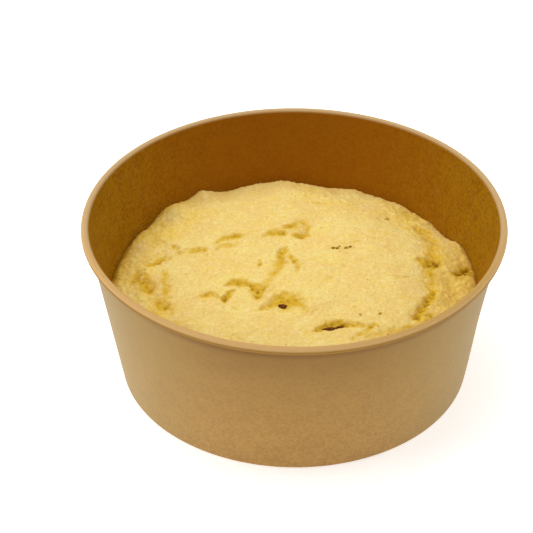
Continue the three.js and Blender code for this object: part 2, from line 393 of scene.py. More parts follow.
paperLook = {
    "outside": (196, 150, 74),
    "outsideDark": (174, 129, 60),
    "outsideRimShadow": (130, 88, 22),  # painted shadow just beneath the rim
    # the inside's deep amber is partly painted shade and bounce light
    "inside": (176, 128, 13),
    "insideDark": (152, 100, 5),
    "rim": (204, 162, 102),
    "rimRightShade": (194, 154, 88),  # painted shade: it is duller in front on the right
    "rimAsideLight": (200, 166, 118),  # and painted light makes it paler at the sides and the back
    # painted light on the outer side of the roll, and painted shade on its underside
    "rimBrowLight": (216, 174, 114),
    "rimUnderShade": (162, 120, 56),
    # tints: a colour and its largest share
    "outsideTopShade": ((150, 110, 40), 0.7),  # painted shade: the outside is a little darker towards the rim
    # painted light: the wall is more olive towards its sides, as seen from the front, where light grazes it
    "outsideAsideLight": ((163, 136, 56), 0.5),
    "outsideShade": ((130, 88, 22), 0.32),  # under the middle of the rim
    "insideBackBounce": ((163, 94, 8), 0.75),  # painted bounce light: the far side is redder
    "fibreLight": ((226, 186, 128), 0.16),
    "fibreDark": ((146, 100, 50), 0.14),
    "fleckDark": ((146, 100, 50), 0.3),
    # where colours change, in millimetres: up the wall
    "topSpan": (-10, bowl["height"]),
    "shadeSpan": (38, 54),
    "browSpan": (53, 56),
    # to the right, or to either side of the middle
    "browLeftSpan": (-52, -25),
    "rimRightSpan": (0, 45),
    "middleSpan": (15, 50),
    "asideSpan": (20, 62),
    # and towards the back
    "backSpan": (20, 75),
    "rimAsideSpan": (-45, 5),
    # sizes in millimetres
    "speckle": 1.1,
    "cloud": 6.0,
    "fibre": 1.6,
    "fibrePatch": 4.5,
    "fleck": 1.5,
    "fleckPatch": 2.2,
    "grainDepth": 0.04,
    "fibreWidth": 0.03,  # share of the noise's range that makes a line
    "outsideGloss": 0.25,
    "outsideSheen": 0.22,
    "insideGloss": 0.06,
}


# pressed fibres: thin curved lines where a noise crosses its middle value
def fibreLines(finish, size, stretch):
    cloud = finish.noise(size, 1.5, 0.5, stretch)
    return 1 - abs(cloud - 0.5).between(0.0, paperLook["fibreWidth"])


def kraftPaper(name, light, dark, gloss, sheen):
    look = paperLook
    constants = {"Specular IOR Level": gloss, "Sheen Weight": sheen, "Sheen Roughness": 0.5}
    finish = Finish(name, constants)
    speckle = finish.noise(look["speckle"], 3.0, 0.65)
    cloud = finish.noise(look["cloud"], 3.0, 0.6)
    colour = finish.blend((speckle * 0.75 + cloud * 0.25).between(0.36, 0.62), dark, light)
    across = fibreLines(finish, look["fibre"], (1.0, 1.0, 2.6))
    upward = fibreLines(finish, look["fibre"] * 0.8, (2.4, 2.4, 0.9))
    where = finish.noise(look["fibrePatch"], 2.0).between(0.42, 0.62)
    colour = colour.tinted(look["fibreLight"], across * where)
    colour = colour.tinted(look["fibreDark"], upward * (1 - where))
    fleck = 1 - finish.spots(look["fleck"]).between(0.07, 0.18)
    sparse = finish.noise(look["fleckPatch"], 1.0).between(0.57, 0.64)
    colour = colour.tinted(look["fleckDark"], fleck * sparse)
    finish.feed("Roughness", 0.62 - across * 0.06 + speckle * 0.16)
    finish.relief(across * 0.5 + upward * 0.4 + speckle * 0.8, look["grainDepth"], 0.4)
    return finish, colour


def outsideFinish():
    look = paperLook
    gloss, sheen = look["outsideGloss"], look["outsideSheen"]
    finish, colour = kraftPaper("kraftOutside", look["outside"], look["outsideDark"], gloss, sheen)
    x, height = finish.along(0), finish.along(2)
    middle = 1 - abs(x).within(look["middleSpan"])
    # painted shade up the wall and under the middle of the rim, and painted light tinting the sides
    colour = colour.tinted(look["outsideTopShade"], height.within(look["topSpan"]))
    colour = colour.tinted(look["outsideAsideLight"], abs(x).within(look["asideSpan"]))
    colour = colour.tinted(look["outsideShade"], height.within(look["shadeSpan"]) * middle)
    # painted shadow: the dark line under the rim is faint at the left end
    paintedBrow = height.within(look["browSpan"]) * (0.35 + 0.5 * x.within(look["browLeftSpan"]))
    finish.feed("Base Color", colour.towards(look["outsideRimShadow"], paintedBrow))
    return finish.material


# the coated face is amber inside the bowl, partly its own colour and partly painted shade and bounce light,
# and pale where it shows on the rolled rim, with painted light and shade there
def insideFinish():
    look = paperLook
    finish, colour = kraftPaper("kraftInside", look["inside"], look["insideDark"], look["insideGloss"], 0.0)
    x, y = finish.along(0), finish.along(1)
    rim = finish.blend(x.within(look["rimRightSpan"]), look["rim"], look["rimRightShade"])
    rim = rim.towards(look["rimAsideLight"], y.within(look["rimAsideSpan"]))
    colour = colour.tinted(look["insideBackBounce"], y.within(look["backSpan"]))
    colour = colour.towards(rim, finish.stored("rim")).towards(look["rimBrowLight"], finish.stored("paintedBrow"))
    finish.feed("Base Color", colour.towards(look["rimUnderShade"], finish.stored("under")))
    return finish.material


kraftOutside, kraftInside = outsideFinish(), insideFinish()
wall = makeWall([kraftOutside, kraftInside])
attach(wall, "root")
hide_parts("bowl_wall")

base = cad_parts["bowl_base"]
base.data.materials.clear()
base.data.materials.append(kraftOutside)
print("bowl made,", len(wall.data.polygons), "faces")


paste = {
    "floor": pasteBox[0].z / mm,
    "floorGap": 0.1,  # between its foot and the wall
    "bite": 0.2,  # how far its edge reaches into the wall's thickness
    "meanLevel": 30.8,  # height at which it meets the wall
    "moundRise": 7.0,  # of the middle above that
    "moundShape": 2.6,  # higher is flatter in the middle and steeper near the wall
    "nearWall": 66.5,  # radius at which the levels below are read
    "levelFade": 3,  # powers of the share of the way out to the wall: of those levels
    "lumpFade": 9,  # and of the lumps of the edge
    "pitch": 0.3,  # of the grid on which the relief is worked out
    "rings": 172,  # ring k of the mesh has 6 k points
    "reach": 12,  # a crease or stain is worked out this far round its line
    # degrees from +X, and the height of the paste at the wall there
    "wallLevels": [
        (2, 27.7), (21, 30.8), (39, 29.7), (56, 31.4), (75, 31.5), (92, 32.4), (113, 33),
        (127, 33.9), (149, 31.9), (159, 31), (171, 29), (190, 28.2), (230, 29), (270, 30.5),
        (315, 29.5),
    ],
    # where its edge stands higher or lower than that: degrees, height and degrees across
    "wallLumps": [
        (22, 0.9, 4), (29.5, -1.25, 4), (40.5, 0.7, 3), (47.5, 0.4, 4), (58, -0.8, 5), (70.5, 1, 3),
        (83, -1.1, 4.5), (89, -0.5, 2), (94.3, 1.2, 3.4), (102, 0.5, 3), (108, 0.5, 3),
        (113, -1.25, 4), (120, 0.6, 2), (123, 1.6, 2.4), (136.5, 2.1, 4),
        (148, -1.1, 4.5), (160, -0.7, 4.5),
    ],
    # size, height, and how much more the lumps stand up in the rough ring by the wall
    "unevenness": [(15, 0.9, 1.0), (7, 0.35, 1.4), (4, 0.15, 1.8)],
    "roughRing": (44, 54),  # where that ring begins, and where it is at its roughest
    "smoothBack": (0.55, 0.95),  # it fades at the back, between these sines of the angle
    "calm": (0.4, -5, 45),  # grains and clots are lower by a share, at and across these degrees
    "shoulder": (2.4, 1.1),  # it rounds over at the wall: across and down
    "slopePast": 1.2,  # and slopes down beyond it
    "cavity": (1.2, 0.4),  # width of the blur, and how far below it counts in full, for painted shade in hollows and painted highlight on crests
    "edgeShade": (5, 0.22),  # painted shade of the paste along the wall: across, and the share
    "edgeShadeLeft": (0.7, 168, 30),  # most of all on the left, where the wall shades it: a share, and at and across these degrees
    # how many, from and to which radius, smallest and largest size, and lowest and highest
    "grains": (12000, 0, 67, (0.35, 0.8), (0.1, 0.36)),
    "clots": (600, 0, 67, (0.5, 1.2), (0.2, 0.5)),
    "wallClots": (1500, 47, 67, (0.5, 1.3), (0.12, 0.45)),
    "pits": (420, 0, 67, (0.4, 1.0), (0.25, 0.7)),
    # layers of lumps: size, height and seed
    "soft": [(2.1, 0.12, 41), (1.1, 0.09, 42)],
    "torn": [(1.3, 0.24, 43), (0.75, 0.12, 44)],  # inside the marks
    "wanderX": [(4, 0.5, 21), (1.6, 0.4, 22), (0.8, 0.35, 25)],  # of the marks to either side
    "wanderY": [(4, 0.5, 23), (1.6, 0.4, 24), (0.8, 0.35, 26)],
    "broken": [(3, 0.3, 27), (1.2, 0.25, 28)],  # they come and go along their lines
}

# across a crease, mostly in widths of its line
creaseShape = {
    "steep": 1.4,  # under the lip
    "gentle": 0.85,  # on the other side
    "groove": 0.5,  # shares of the depth: of the whole groove
    "core": 0.2,  # and of its middle
    "lipAt": 1.9,
    "lipAcross": 1.2,
    "lipFade": 3,
    "lipShare": 0.6,
    # the darker colour round a crease, partly oil and partly painted shade
    "stainAndShadeAcross": 1.15,
    "stainAndShadeShare": 0.6,
}

# Creases where the paste was folded over by the spoon. Each point is x, y, width and depth, and the
# number after the points is the height of the lip: on the left of the line, or if below 0 the right.
creases = [
    # the edge of the last scoop on the right, then the sharper marks along it
    ([(45, 36.3, 1.5, 0.4), (49, 31.6, 2.6, 0.8), (51, 23.6, 3, 0.9), (50.5, 14.6, 3, 0.9),
      (48, 8.6, 2.6, 0.9), (47, 1.4, 2.2, 0.6), (49.5, -5.4, 2.2, 0.9), (46.5, -13.2, 2.2, 1.1),
      (43, -21.3, 1.8, 1)], 0.8),
    ([(43.5, 35.8, 1, 0.8), (46, 36.4, 1.3, 1.2), (48.2, 35.2, 1, 0.8)], 0.3),
    ([(44.8, 11.2, 0.9, 0.9), (47.5, 11.7, 1.3, 1.6), (50.6, 10.8, 1.6, 2)], 0.5),
    ([(50.8, -4.8, 1.2, 1), (48.5, -9.2, 1.2, 1.2), (46, -13.7, 1.2, 1.2),
      (44.2, -17.3, 1.5, 1.7), (42.6, -21.2, 1.4, 1.6)], 0.4),
    ([(58.6, 8, 1.4, 1.6), (61, 10.1, 1.6, 2.2), (63.6, 11.9, 1.3, 1.6)], -0.4),
    # the peak in the middle: a crease down each side and a small one across
    ([(-3.5, 15.3, 1, 1.1), (-4.2, 12.9, 1.6, 1.6), (-5.6, 6.8, 1.8, 1), (-7.6, 0, 2.2, 0.9),
      (-9.2, -5.9, 1.8, 0.8), (-11.4, -10.2, 1.5, 1.4), (-12.8, -14.5, 1.6, 2.2)], 0.5),
    ([(-2.4, 9.7, 1, 1.3), (-0.4, 6.2, 1.2, 1.4), (0.9, 2.2, 1, 1.2), (1.2, -2, 0.8, 0.6)], 0.4),
    ([(-4.4, 5.3, 0.8, 0.8), (-1.9, 5, 0.8, 0.8)], 0.2),
    ([(-12.6, 7, 0.8, 0.8), (-12.4, 5, 1, 1.2)], 0.2),
    # the broad dab in front of the peak, and its neighbour
    ([(-24, -8, 1.3, 1.1), (-21.5, -6, 1.9, 1.4), (-17.5, -6.4, 1.8, 1.4), (-15, -8.6, 1.4, 1.3),
      (-13.2, -11.2, 1.5, 1.8)], 0.6),
    ([(-32, -14.3, 1, 1), (-29.3, -13.2, 1.3, 1.4), (-27, -15.8, 1, 0.9), (-25, -16.2, 1.4, 1.8),
      (-23.4, -14.2, 1.3, 1.4), (-22, -11.2, 0.9, 0.8)], 0.4),
    # the round dab behind the peak, and the short presses beside it
    ([(-0.6, 23.3, 0.9, 1), (1.9, 22.5, 1.2, 1.6), (3.9, 24.7, 0.9, 1), (4.5, 28.4, 1.1, 1.2),
      (3, 32, 1.1, 1.1), (0.4, 32.4, 0.8, 0.7)], 0),
    ([(-3.2, 28.3, 1, 1.2), (0, 29, 1.1, 1.1)], 0.3),
    ([(-10.8, 22.4, 1, 0.8), (-8.4, 24.2, 1.5, 1.5), (-4.4, 24.4, 1.3, 1.4)], 0.4),
    ([(-29.3, 17.9, 0.8, 0.5), (-26.4, 21.1, 1.4, 1.2), (-20.4, 22.4, 1.3, 1.3)], 0.4),
    ([(-28.2, 14.4, 0.9, 0.9), (-25.9, 16.9, 1.1, 0.9), (-21.9, 17.9, 1.1, 0.7)], 0.3),
    ([(4, 47.1, 1, 0.5), (10.5, 47.9, 1, 0.5)], 0.2),
    # on the left, from behind to the front
    ([(-44.6, 18.4, 1, 1.2), (-42.7, 17.4, 0.9, 0.8)], 0.3),
    ([(-42.4, 14, 1, 1.1), (-39.7, 15.5, 1, 0.9)], 0.3),
    ([(-38, 14.7, 1.3, 1.3), (-33.2, 14.2, 1.4, 1.4)], 0.3),
    ([(-53.5, 8.1, 1.3, 1.1), (-50.3, 10.1, 1.7, 1.4), (-47.5, 13.4, 1.2, 1)], 0.3),
    ([(-47.4, 9.1, 0.8, 0.6), (-44.7, 12.4, 0.8, 0.6)], 0.2),
    ([(-56.5, 4.7, 1.8, 1), (-56, 0, 3, 1.4), (-53, -4, 3, 1.4), (-50.5, -7.8, 1.8, 1)], 0.6),
    ([(-46.2, 4.4, 0.8, 0.6), (-45.8, -0.4, 1.1, 0.9), (-45, -5.8, 1.2, 1), (-45, -11.4, 1, 0.9),
      (-45.8, -16.4, 1, 0.8)], -0.8),
    ([(-49.5, -13.8, 1.6, 1), (-47, -16.5, 2.4, 1.5), (-44, -19.7, 2, 1.2)], 0.4),
    # round the hollow and the streak that hold the dark bits
    ([(-11.8, -21.2, 0.9, 0.8), (-8.4, -19.1, 1.4, 1), (-6, -15.5, 1.8, 1),
      (-3, -13.7, 1.8, 1.1), (0.9, -14.9, 1.8, 1), (3.4, -18.8, 1.3, 0.8), (4.4, -23, 0.9, 0.5)], 0.7),
    ([(8.5, -31.8, 1.4, 1.2), (12.3, -29.7, 1.8, 1.6), (16.6, -28.3, 1.3, 1.6),
      (20.2, -28.8, 1.3, 1.2), (23.6, -29.2, 1, 1)], 0.5),
    # near the front on the right, and the faint lines across the smooth part
    ([(28, -28.2, 1, 1.2), (26.6, -29.6, 1.4, 1.8), (23.9, -33, 1.1, 1.2),
      (19.7, -37.1, 0.9, 0.7)], 0.4),
    ([(36.6, -0.8, 1, 0.7), (40.5, 0.1, 1, 0.6)], 0.2),
    ([(9.4, -9.6, 1.6, 0.35), (17.9, 5, 1.6, 0.35)], 0.2),
]

# round dabs, and hollows where the height is below 0: x, y, across, height
dabs = [
    (1.4, 26, 4.2, 0.9), (-40.6, 15, 2.2, 0.5), (-2.4, 6.4, 3.4, 0.6), (-0.9, 2.0, 3.4, 0.4),
    (-8.4, -8.6, 3.0, 0.4), (-26, -14.8, 3.0, 0.5), (48.2, 4.4, 2.4, 0.7), (62.2, 3.4, 7.0, 1.1),
    (-55.4, 0.2, 2.2, 0.6), (-56.8, 1.8, 1.6, -0.5), (-55.2, -2.8, 2.0, -0.5), (-52.4, -6.4, 1.6, -0.5),
    (-3.4, -19.2, 6.0, -0.8), (-46, 26, 12, 0.8), (20, 36, 16, 0.7), (-22, -38, 16, 1.0), (26, 8, 22, 0.7),
    (-53.2, -12.2, 1.4, 0.7), (-51.3, -14, 1.2, 0.6), (-53.1, -16.1, 1.5, 0.7), (-44.2, -20.3, 1.3, 0.7),
    (-36.8, -28, 1.4, 0.7), (-53.9, 6.1, 1.5, 0.7), (-49.4, 16.9, 1.3, 0.6), (43.8, 31.9, 1.4, 0.6),
]

# streaks where the paste is darker, partly from oil and partly painted shade of the marks: points of x, y,
# width and share
stainsAndShade = [
    # the left side of the peak, round the dab behind it, and over the hollow in front
    [(-4.3, 8.8, 2, 0.65), (-6.7, 1.3, 2.4, 0.6), (-9.1, -6, 2.4, 0.6), (-11.1, -11.2, 1.9, 0.65)],
    [(-3.4, 27.4, 1.2, 0.9), (-1.4, 28.8, 1.1, 0.95), (0.6, 30.6, 1, 0.5), (3.2, 30.8, 1.1, 0.6),
     (4.6, 28.2, 1, 0.45), (4.4, 25.4, 1.1, 0.45)],
    [(4.2, 23.4, 1.3, 0.8), (2.2, 22.2, 1.6, 1.05), (0, 23.2, 1.3, 0.8)],
    [(0.6, 26.4, 2, 0.55), (2.2, 27.4, 2, 0.55)],
    [(-10.6, 22.4, 1.4, 0.5), (-7.6, 23.6, 1.5, 1), (-4.8, 23.8, 1.3, 0.8)],
    [(-29, 19, 1.4, 0.4), (-25.4, 20.6, 1.7, 0.7), (-20.6, 21, 1.6, 0.7)],
    [(-28, 14.6, 1.4, 0.5), (-24.8, 16.4, 1.5, 0.6), (-20.4, 17, 1.4, 0.45)],
    [(-9.2, -20.8, 1.4, 0.7), (-7.2, -18.6, 2, 0.95), (-3.7, -16.6, 2.6, 1.15), (0.2, -17.2, 2.4, 1.05),
     (2.8, -19.8, 1.8, 0.7)],
    [(-22.5, -7, 1.7, 0.8), (-17.5, -7.2, 1.7, 0.85), (-13.6, -8.6, 1.6, 0.7), (-9.8, -8.2, 1.4, 0.5)],
    # along the last scoop on the right, and at the wall beside it and behind it
    [(48, 27.7, 2.8, 0.4), (49.4, 20.6, 3.6, 0.42), (49.9, 14.8, 2.8, 0.4)],
    [(50.3, 28.4, 0.8, 0.4), (51.3, 21.1, 0.9, 0.5), (51.5, 14.7, 0.9, 0.5)],
    [(45.1, 35.1, 1, 0.6), (46.8, 32.6, 1.3, 0.9), (49.1, 34, 1, 0.6)],
    [(44.2, 10.6, 1.2, 0.7), (45.9, 9.9, 2, 1.2), (48.8, 8.9, 2.6, 1.6), (51.1, 11, 2, 1.2)],
    [(48.3, 5.2, 2.6, 0.85), (49, 1.6, 2.6, 0.65), (48.1, -4.7, 3, 0.45)],
    [(49.5, -5.2, 1.6, 0.9), (47.8, -10.2, 1.7, 1.3), (45.8, -15.4, 1.6, 1.1), (44.2, -19.1, 1.7, 1.3),
     (42.8, -22, 1.7, 1.1)],
    [(24.6, -35.4, 1.4, 0.35), (30.8, -32.2, 1.8, 0.55), (36.5, -29, 1.8, 0.6), (40.4, -27, 1.6, 0.65),
     (44.6, -24.4, 1, 0.5), (47.6, -19.8, 1.7, 1), (49, -17.6, 1, 0.4)],
    [(58.2, 7.3, 1.4, 1.1), (60.6, 9.3, 2.0, 1.6), (62.9, 10.5, 1.8, 1.6)],
    [(59, 4.9, 1.3, 0.5), (59, 7.1, 1, 0.6)],
    [(61, 5.1, 2.5, 0.3), (63.1, 3.3, 2.5, 0.35)],
    [(41, 45.6, 2, 0.3), (42.1, 43.1, 1.5, 0.25)],
    [(58.4, 24, 2, 0.28), (60, 21, 2, 0.28)],
    [(33, 52, 2, 0.22), (36, 48.5, 2, 0.22)],
    # along the wall on the left, and on the ring inside it
    [(-65.5, 5, 1.4, 0.55), (-65.1, 10.1, 1.6, 0.45), (-64.3, 14.9, 1.6, 0.4), (-62.8, 21.5, 1.6, 0.4),
     (-60.1, 26.5, 1.5, 0.3)],
    [(-55.2, 1.4, 2.2, 0.45), (-52.8, -2.6, 3, 0.55), (-50.4, -6.1, 2, 0.5)],
    [(-56.6, 4.6, 0.9, 0.6), (-55.1, -3.1, 1.3, 0.85), (-52.6, -6, 1, 0.6), (-50.5, -8, 1.2, 0.8)],
    [(-47.4, 3.9, 0.9, 0.4), (-46.6, -3.7, 1.3, 0.75), (-45.9, -9, 1.2, 0.65), (-46, -12.9, 1, 0.4)],
    [(-51.1, -11.5, 1.5, 0.3), (-48.4, -15.5, 1.8, 0.6), (-45.7, -17.8, 1.8, 0.6),
     (-46.6, -20.2, 1.6, 0.45), (-42.6, -22.7, 1.5, 0.3)],
    [(-50.6, -17.4, 1.8, 0.4), (-48.4, -21.9, 2.2, 0.5), (-45.5, -24.8, 2, 0.4), (-42, -28.4, 1.8, 0.3)],
    [(-52.5, 9.3, 1.2, 0.9), (-50.7, 9.5, 1.7, 1.3), (-48.6, 11.6, 1.6, 1), (-47, 13.8, 1, 0.5)],
    [(-42.2, 13.4, 1, 0.75), (-40.4, 14, 1, 0.6)],
    [(-38.2, 13.6, 1.1, 0.6), (-36, 13.6, 1.3, 0.75), (-33.8, 13.3, 1, 0.55)],
    # round the specks, and near the front
    [(13.6, 14.4, 1.2, 0.4), (16, 14.3, 1.2, 0.4)],
    [(18.2, 14.4, 1.2, 0.4), (20.4, 15, 1.2, 0.4)],
    [(13.5, 19, 0.9, 0.25), (17.5, 17.5, 0.9, 0.3), (23, 18.8, 1.0, 0.45)],
    [(28, 22.3, 0.7, 0.35), (32, 23, 0.8, 0.45)],
    [(-21.8, -21.9, 1.2, 0.3), (-20.6, -21.8, 1.2, 0.3)],
    [(-41, -26.1, 1.5, 0.35), (-37.4, -29.2, 1.5, 0.3), (-32.4, -31.9, 1.5, 0.25)],
    [(27.5, -29.4, 1.1, 0.5), (25.3, -32.1, 1.5, 0.8), (23.2, -34.8, 1.2, 0.5), (19.7, -37.6, 1, 0.3)],
]


# height of the paste at the wall, eased from each stop to the next
def wallLevel(angle):
    turn = np.degrees(angle) % 360
    levels = paste["wallLevels"]
    stops = np.array([(levels[-1][0] - 360, levels[-1][1]), *levels, (levels[0][0] + 360, levels[0][1])])
    i = np.searchsorted(stops[:, 0], turn, side="right") - 1
    low, high = stops[i], stops[i + 1]
    return low[..., 1] + (high[..., 1] - low[..., 1]) * ease(low[..., 0], high[..., 0], turn)


# the nearest place on a line: its distance, which side, and the line's width and depth there
def beside(line, x, y):
    distance = np.full(x.shape, np.inf)
    side, width, depth = np.ones(x.shape), np.ones(x.shape), np.zeros(x.shape)
    for (ax, ay, aWidth, aDepth), (bx, by, bWidth, bDepth) in zip(line, line[1:]):
        dx, dy = bx - ax, by - ay
        t = np.clip(((x - ax) * dx + (y - ay) * dy) / (dx * dx + dy * dy), 0, 1)
        d = np.hypot(x - ax - t * dx, y - ay - t * dy)
        nearer = d < distance
        distance = np.where(nearer, d, distance)
        side = np.where(nearer, np.where(dx * (y - ay) - dy * (x - ax) < 0, -1, 1), side)
        width = np.where(nearer, aWidth + (bWidth - aWidth) * t, width)
        depth = np.where(nearer, aDepth + (bDepth - aDepth) * t, depth)
    return distance, side, width, depth


# the part of the grid round a line, so that only points near it are worked out
def partRound(axis, line):
    spans = []
    for k in (1, 0):
        values = [point[k] for point in line]
        low = np.searchsorted(axis, min(values) - paste["reach"])
        high = np.searchsorted(axis, max(values) + paste["reach"])
        spans.append(slice(low, high))
    return tuple(spans)


# stamps many small marks onto a grid, each with its own size and height: domes, or softer pits
def stamp(grid, axis, marks, dome):
    pitch = axis[1] - axis[0]
    for cx, cy, radius, height in marks:
        reach = int(radius / pitch) + 2
        i, j = int((cy - axis[0]) / pitch), int((cx - axis[0]) / pitch)
        rows, columns = slice(max(i - reach, 0), i + reach + 1), slice(max(j - reach, 0), j + reach + 1)
        away = np.hypot(axis[None, columns] - cx, axis[rows, None] - cy) / radius
        shape = height * (np.clip(1 - away * away, 0, 1) ** 0.8 if dome else bell(1.6 * away))
        grid[rows, columns] = np.maximum(grid[rows, columns], shape)


# random places inside a ring, each with a size and a height
def scatter(random, count, inner, outer, radii, heights):
    r = np.sqrt(random.uniform(inner ** 2, outer ** 2, count))
    angle = random.uniform(0, 2 * np.pi, count)
    sizes = random.uniform(*radii, count)
    tall = random.uniform(*heights, count)
    return np.column_stack([r * np.cos(angle), r * np.sin(angle), sizes, tall])


# clots that sit beside the creases, a little less than one for each millimetre
def besideCreases(random):
    marks = []
    for line, _ in creases:
        for a, b in zip(line, line[1:]):
            dx, dy = b[0] - a[0], b[1] - a[1]
            for _ in range(int(np.hypot(dx, dy) * 0.9)):
                t = random.uniform()
                offX, offY = random.normal(0, 1.1, 2) * (a[2] + 0.4)
                x, y = a[0] + dx * t + offX, a[1] + dy * t + offY
                marks.append((x, y, random.uniform(0.4, 0.9), random.uniform(0.15, 0.45)))
    return marks


# a grid smoothed over a radius, by a row and then by a column of weights
def blurred(grid, radius, pitch):
    reach = int(3 * radius / pitch)
    kernel = bell(np.arange(-reach, reach + 1) * pitch / radius)
    kernel /= kernel.sum()
    padded = np.pad(grid, reach, mode="edge")
    rows = sum(w * padded[:, k:k + grid.shape[1]] for k, w in enumerate(kernel))
    return sum(w * rows[k:k + grid.shape[0]] for k, w in enumerate(kernel))


# the dome and its broad swells, before anything fine
def domeHeight(x, y):
    r, angle = np.hypot(x, y), np.arctan2(y, x)
    u = np.minimum(r / paste["nearWall"], 1)
    z = paste["meanLevel"] + (wallLevel(angle) - paste["meanLevel"]) * u ** paste["levelFade"]
    z += paste["moundRise"] * (1 - u ** paste["moundShape"])
    for degrees, height, across in paste["wallLumps"]:
        z += height * near(angle, degrees, across) * u ** paste["lumpFade"]
    wallward = ease(*paste["roughRing"], r)
    for i, (size, height, atWall) in enumerate(paste["unevenness"]):
        z += height * (1 + (atWall - 1) * wallward) * lumps(x, y, size, i + 1)
    return z


# presses the creases and dabs into the relief, and gives how deep in one each point is
def pressCreases(axis, x, y, z):
    shape = creaseShape
    wx, wy = x + layered(x, y, paste["wanderX"]), y + layered(x, y, paste["wanderY"])
    broken = np.clip(0.9 + layered(x, y, paste["broken"]), 0.2, 1.4)
    deep = np.zeros_like(x)
    for line, lip in creases:
        part = partRound(axis, line)
        distance, side, width, depth = beside(line, wx[part], wy[part])
        depth = depth * broken[part]
        across = distance * np.where(side * lip > 0, shape["steep"], shape["gentle"]) / width
        groove = shape["groove"] * bell(across) + shape["core"] * bell(2 * across)
        lipAt = shape["lipAt"] * width * np.sign(lip)
        ridge = abs(lip) * bell((distance * side - lipAt) / (shape["lipAcross"] * width))
        z[part] += shape["lipShare"] * ridge * bell(distance / (shape["lipFade"] * width)) - depth * groove
        # the crease's darker colour: partly oil, partly painted shade of the groove
        stainAndShade = shape["stainAndShadeShare"] * depth * bell(distance / (shape["stainAndShadeAcross"] * width))
        deep[part] = np.maximum(deep[part], stainAndShade)
    for cx, cy, across, height in dabs:
        dab = bell(2 * np.hypot(wx - cx, wy - cy) / across)
        z += height * dab
        # a hollow gets painted shade, and a raised dab clears the stain and shade under it
        deep = np.maximum(deep, -0.8 * height * dab) * (1 - 0.7 * np.clip(height, 0, 1) * dab)
    for line in stainsAndShade:
        part = partRound(axis, line)
        distance, _, width, share = beside(line, wx[part], wy[part])
        stainAndShade = share * (0.4 + 0.6 * broken[part]) * bell(distance / width)
        deep[part] = np.maximum(deep[part], stainAndShade)
    return deep


# the relief on a square grid: the height, then how deep in a crease, how rough and how far below its
# surroundings each point is, and its share of painted shade along the wall
def pasteRelief():
    nearWall, pitch = paste["nearWall"], paste["pitch"]
    axis = np.arange(-nearWall - 2, nearWall + 2, pitch)
    x, y = np.meshgrid(axis, axis)
    r, angle = np.hypot(x, y), np.arctan2(y, x)
    z = domeHeight(x, y)
    deep = pressCreases(axis, x, y, z)
    wallward = ease(*paste["roughRing"], r) * (1 - 0.7 * ease(*paste["smoothBack"], y / (r + 1)))
    rough = np.clip(0.2 + 0.6 * wallward + 0.4 * lumps(x, y, 9, 31) + 0.35 * np.minimum(deep, 1), 0, 1)
    # grains and small clots, larger and more of them in the rough ring and by the creases
    random = np.random.default_rng(7)
    grains, clots, pits = np.zeros_like(x), np.zeros_like(x), np.zeros_like(x)
    stamp(grains, axis, scatter(random, *paste["grains"]), True)
    stamp(clots, axis, scatter(random, *paste["clots"]), True)
    stamp(clots, axis, scatter(random, *paste["wallClots"]), True)
    stamp(clots, axis, besideCreases(random), True)
    stamp(pits, axis, scatter(random, *paste["pits"]), False)
    share, degrees, across = paste["calm"]
    calm = 1 - share * near(angle, degrees, across)
    z += grains * (0.6 + 0.4 * rough) * calm + clots * (0.4 + 0.6 * rough) * calm
    z -= pits * (0.5 + 0.5 * rough)
    z += layered(x, y, paste["soft"]) * (0.5 + rough)
    z += np.clip(deep, 0, 1) * layered(x, y, paste["torn"])
    shoulder, drop = paste["shoulder"]
    z -= drop * ease(shoulder, 0, nearWall - r) ** 2 + paste["slopePast"] * np.maximum(r - nearWall, 0)
    distance, depth = paste["cavity"]
    cavity = np.clip((blurred(z, distance, pitch) - z) / depth, -1, 1)
    # painted shade of the paste along the wall
    across, share = paste["edgeShade"]
    leftShare, degrees, leftAcross = paste["edgeShadeLeft"]
    edge = ease(across, 0, nearWall - r) * (share + leftShare * near(angle, degrees, leftAcross))
    edge *= 0.8 + 0.3 * lumps(x, y, 3, 33)
    return axis, z, {"deep": deep, "rough": rough, "cavity": cavity, "edge": edge}


# reads a grid at places between its points
def sampled(axis, grid, x, y):
    pitch = axis[1] - axis[0]
    fx, fy = (x - axis[0]) / pitch, (y - axis[0]) / pitch
    j = np.clip(fx.astype(int), 0, len(axis) - 2)
    i = np.clip(fy.astype(int), 0, len(axis) - 2)
    u, v = fx - j, fy - i
    front = grid[i, j] * (1 - u) + grid[i, j + 1] * u
    behind = grid[i + 1, j] * (1 - u) + grid[i + 1, j + 1] * u
    return front * (1 - v) + behind * v


# number of the first point of ring k
def ringStart(k):
    return 0 if k == 0 else 1 + 3 * k * (k - 1)


# places of the points of the top, from the middle out
def topPlan(rings, edgeRadius):
    xs, ys = [np.zeros(1)], [np.zeros(1)]
    for k in range(1, rings + 1):
        angle = np.arange(6 * k) / (6 * k) * 2 * np.pi
        r = edgeRadius(angle) * k / rings
        xs.append(r * np.cos(angle))
        ys.append(r * np.sin(angle))
    return np.concatenate(xs), np.concatenate(ys)


def topFaces(rings):
    faces = []
    for k in range(1, rings + 1):
        start, within = ringStart(k), ringStart(k - 1)
        inside = max(6 * (k - 1), 1)
        for sector in range(6):
            for i in range(k):
                a = start + sector * k + i
                b = start + (sector * k + i + 1) % (6 * k)
                c = within + (sector * (k - 1) + i) % inside
                faces.append((a, b, c))
                if i < k - 1:
                    faces.append((c, b, within + (sector * (k - 1) + i + 1) % inside))
    return faces


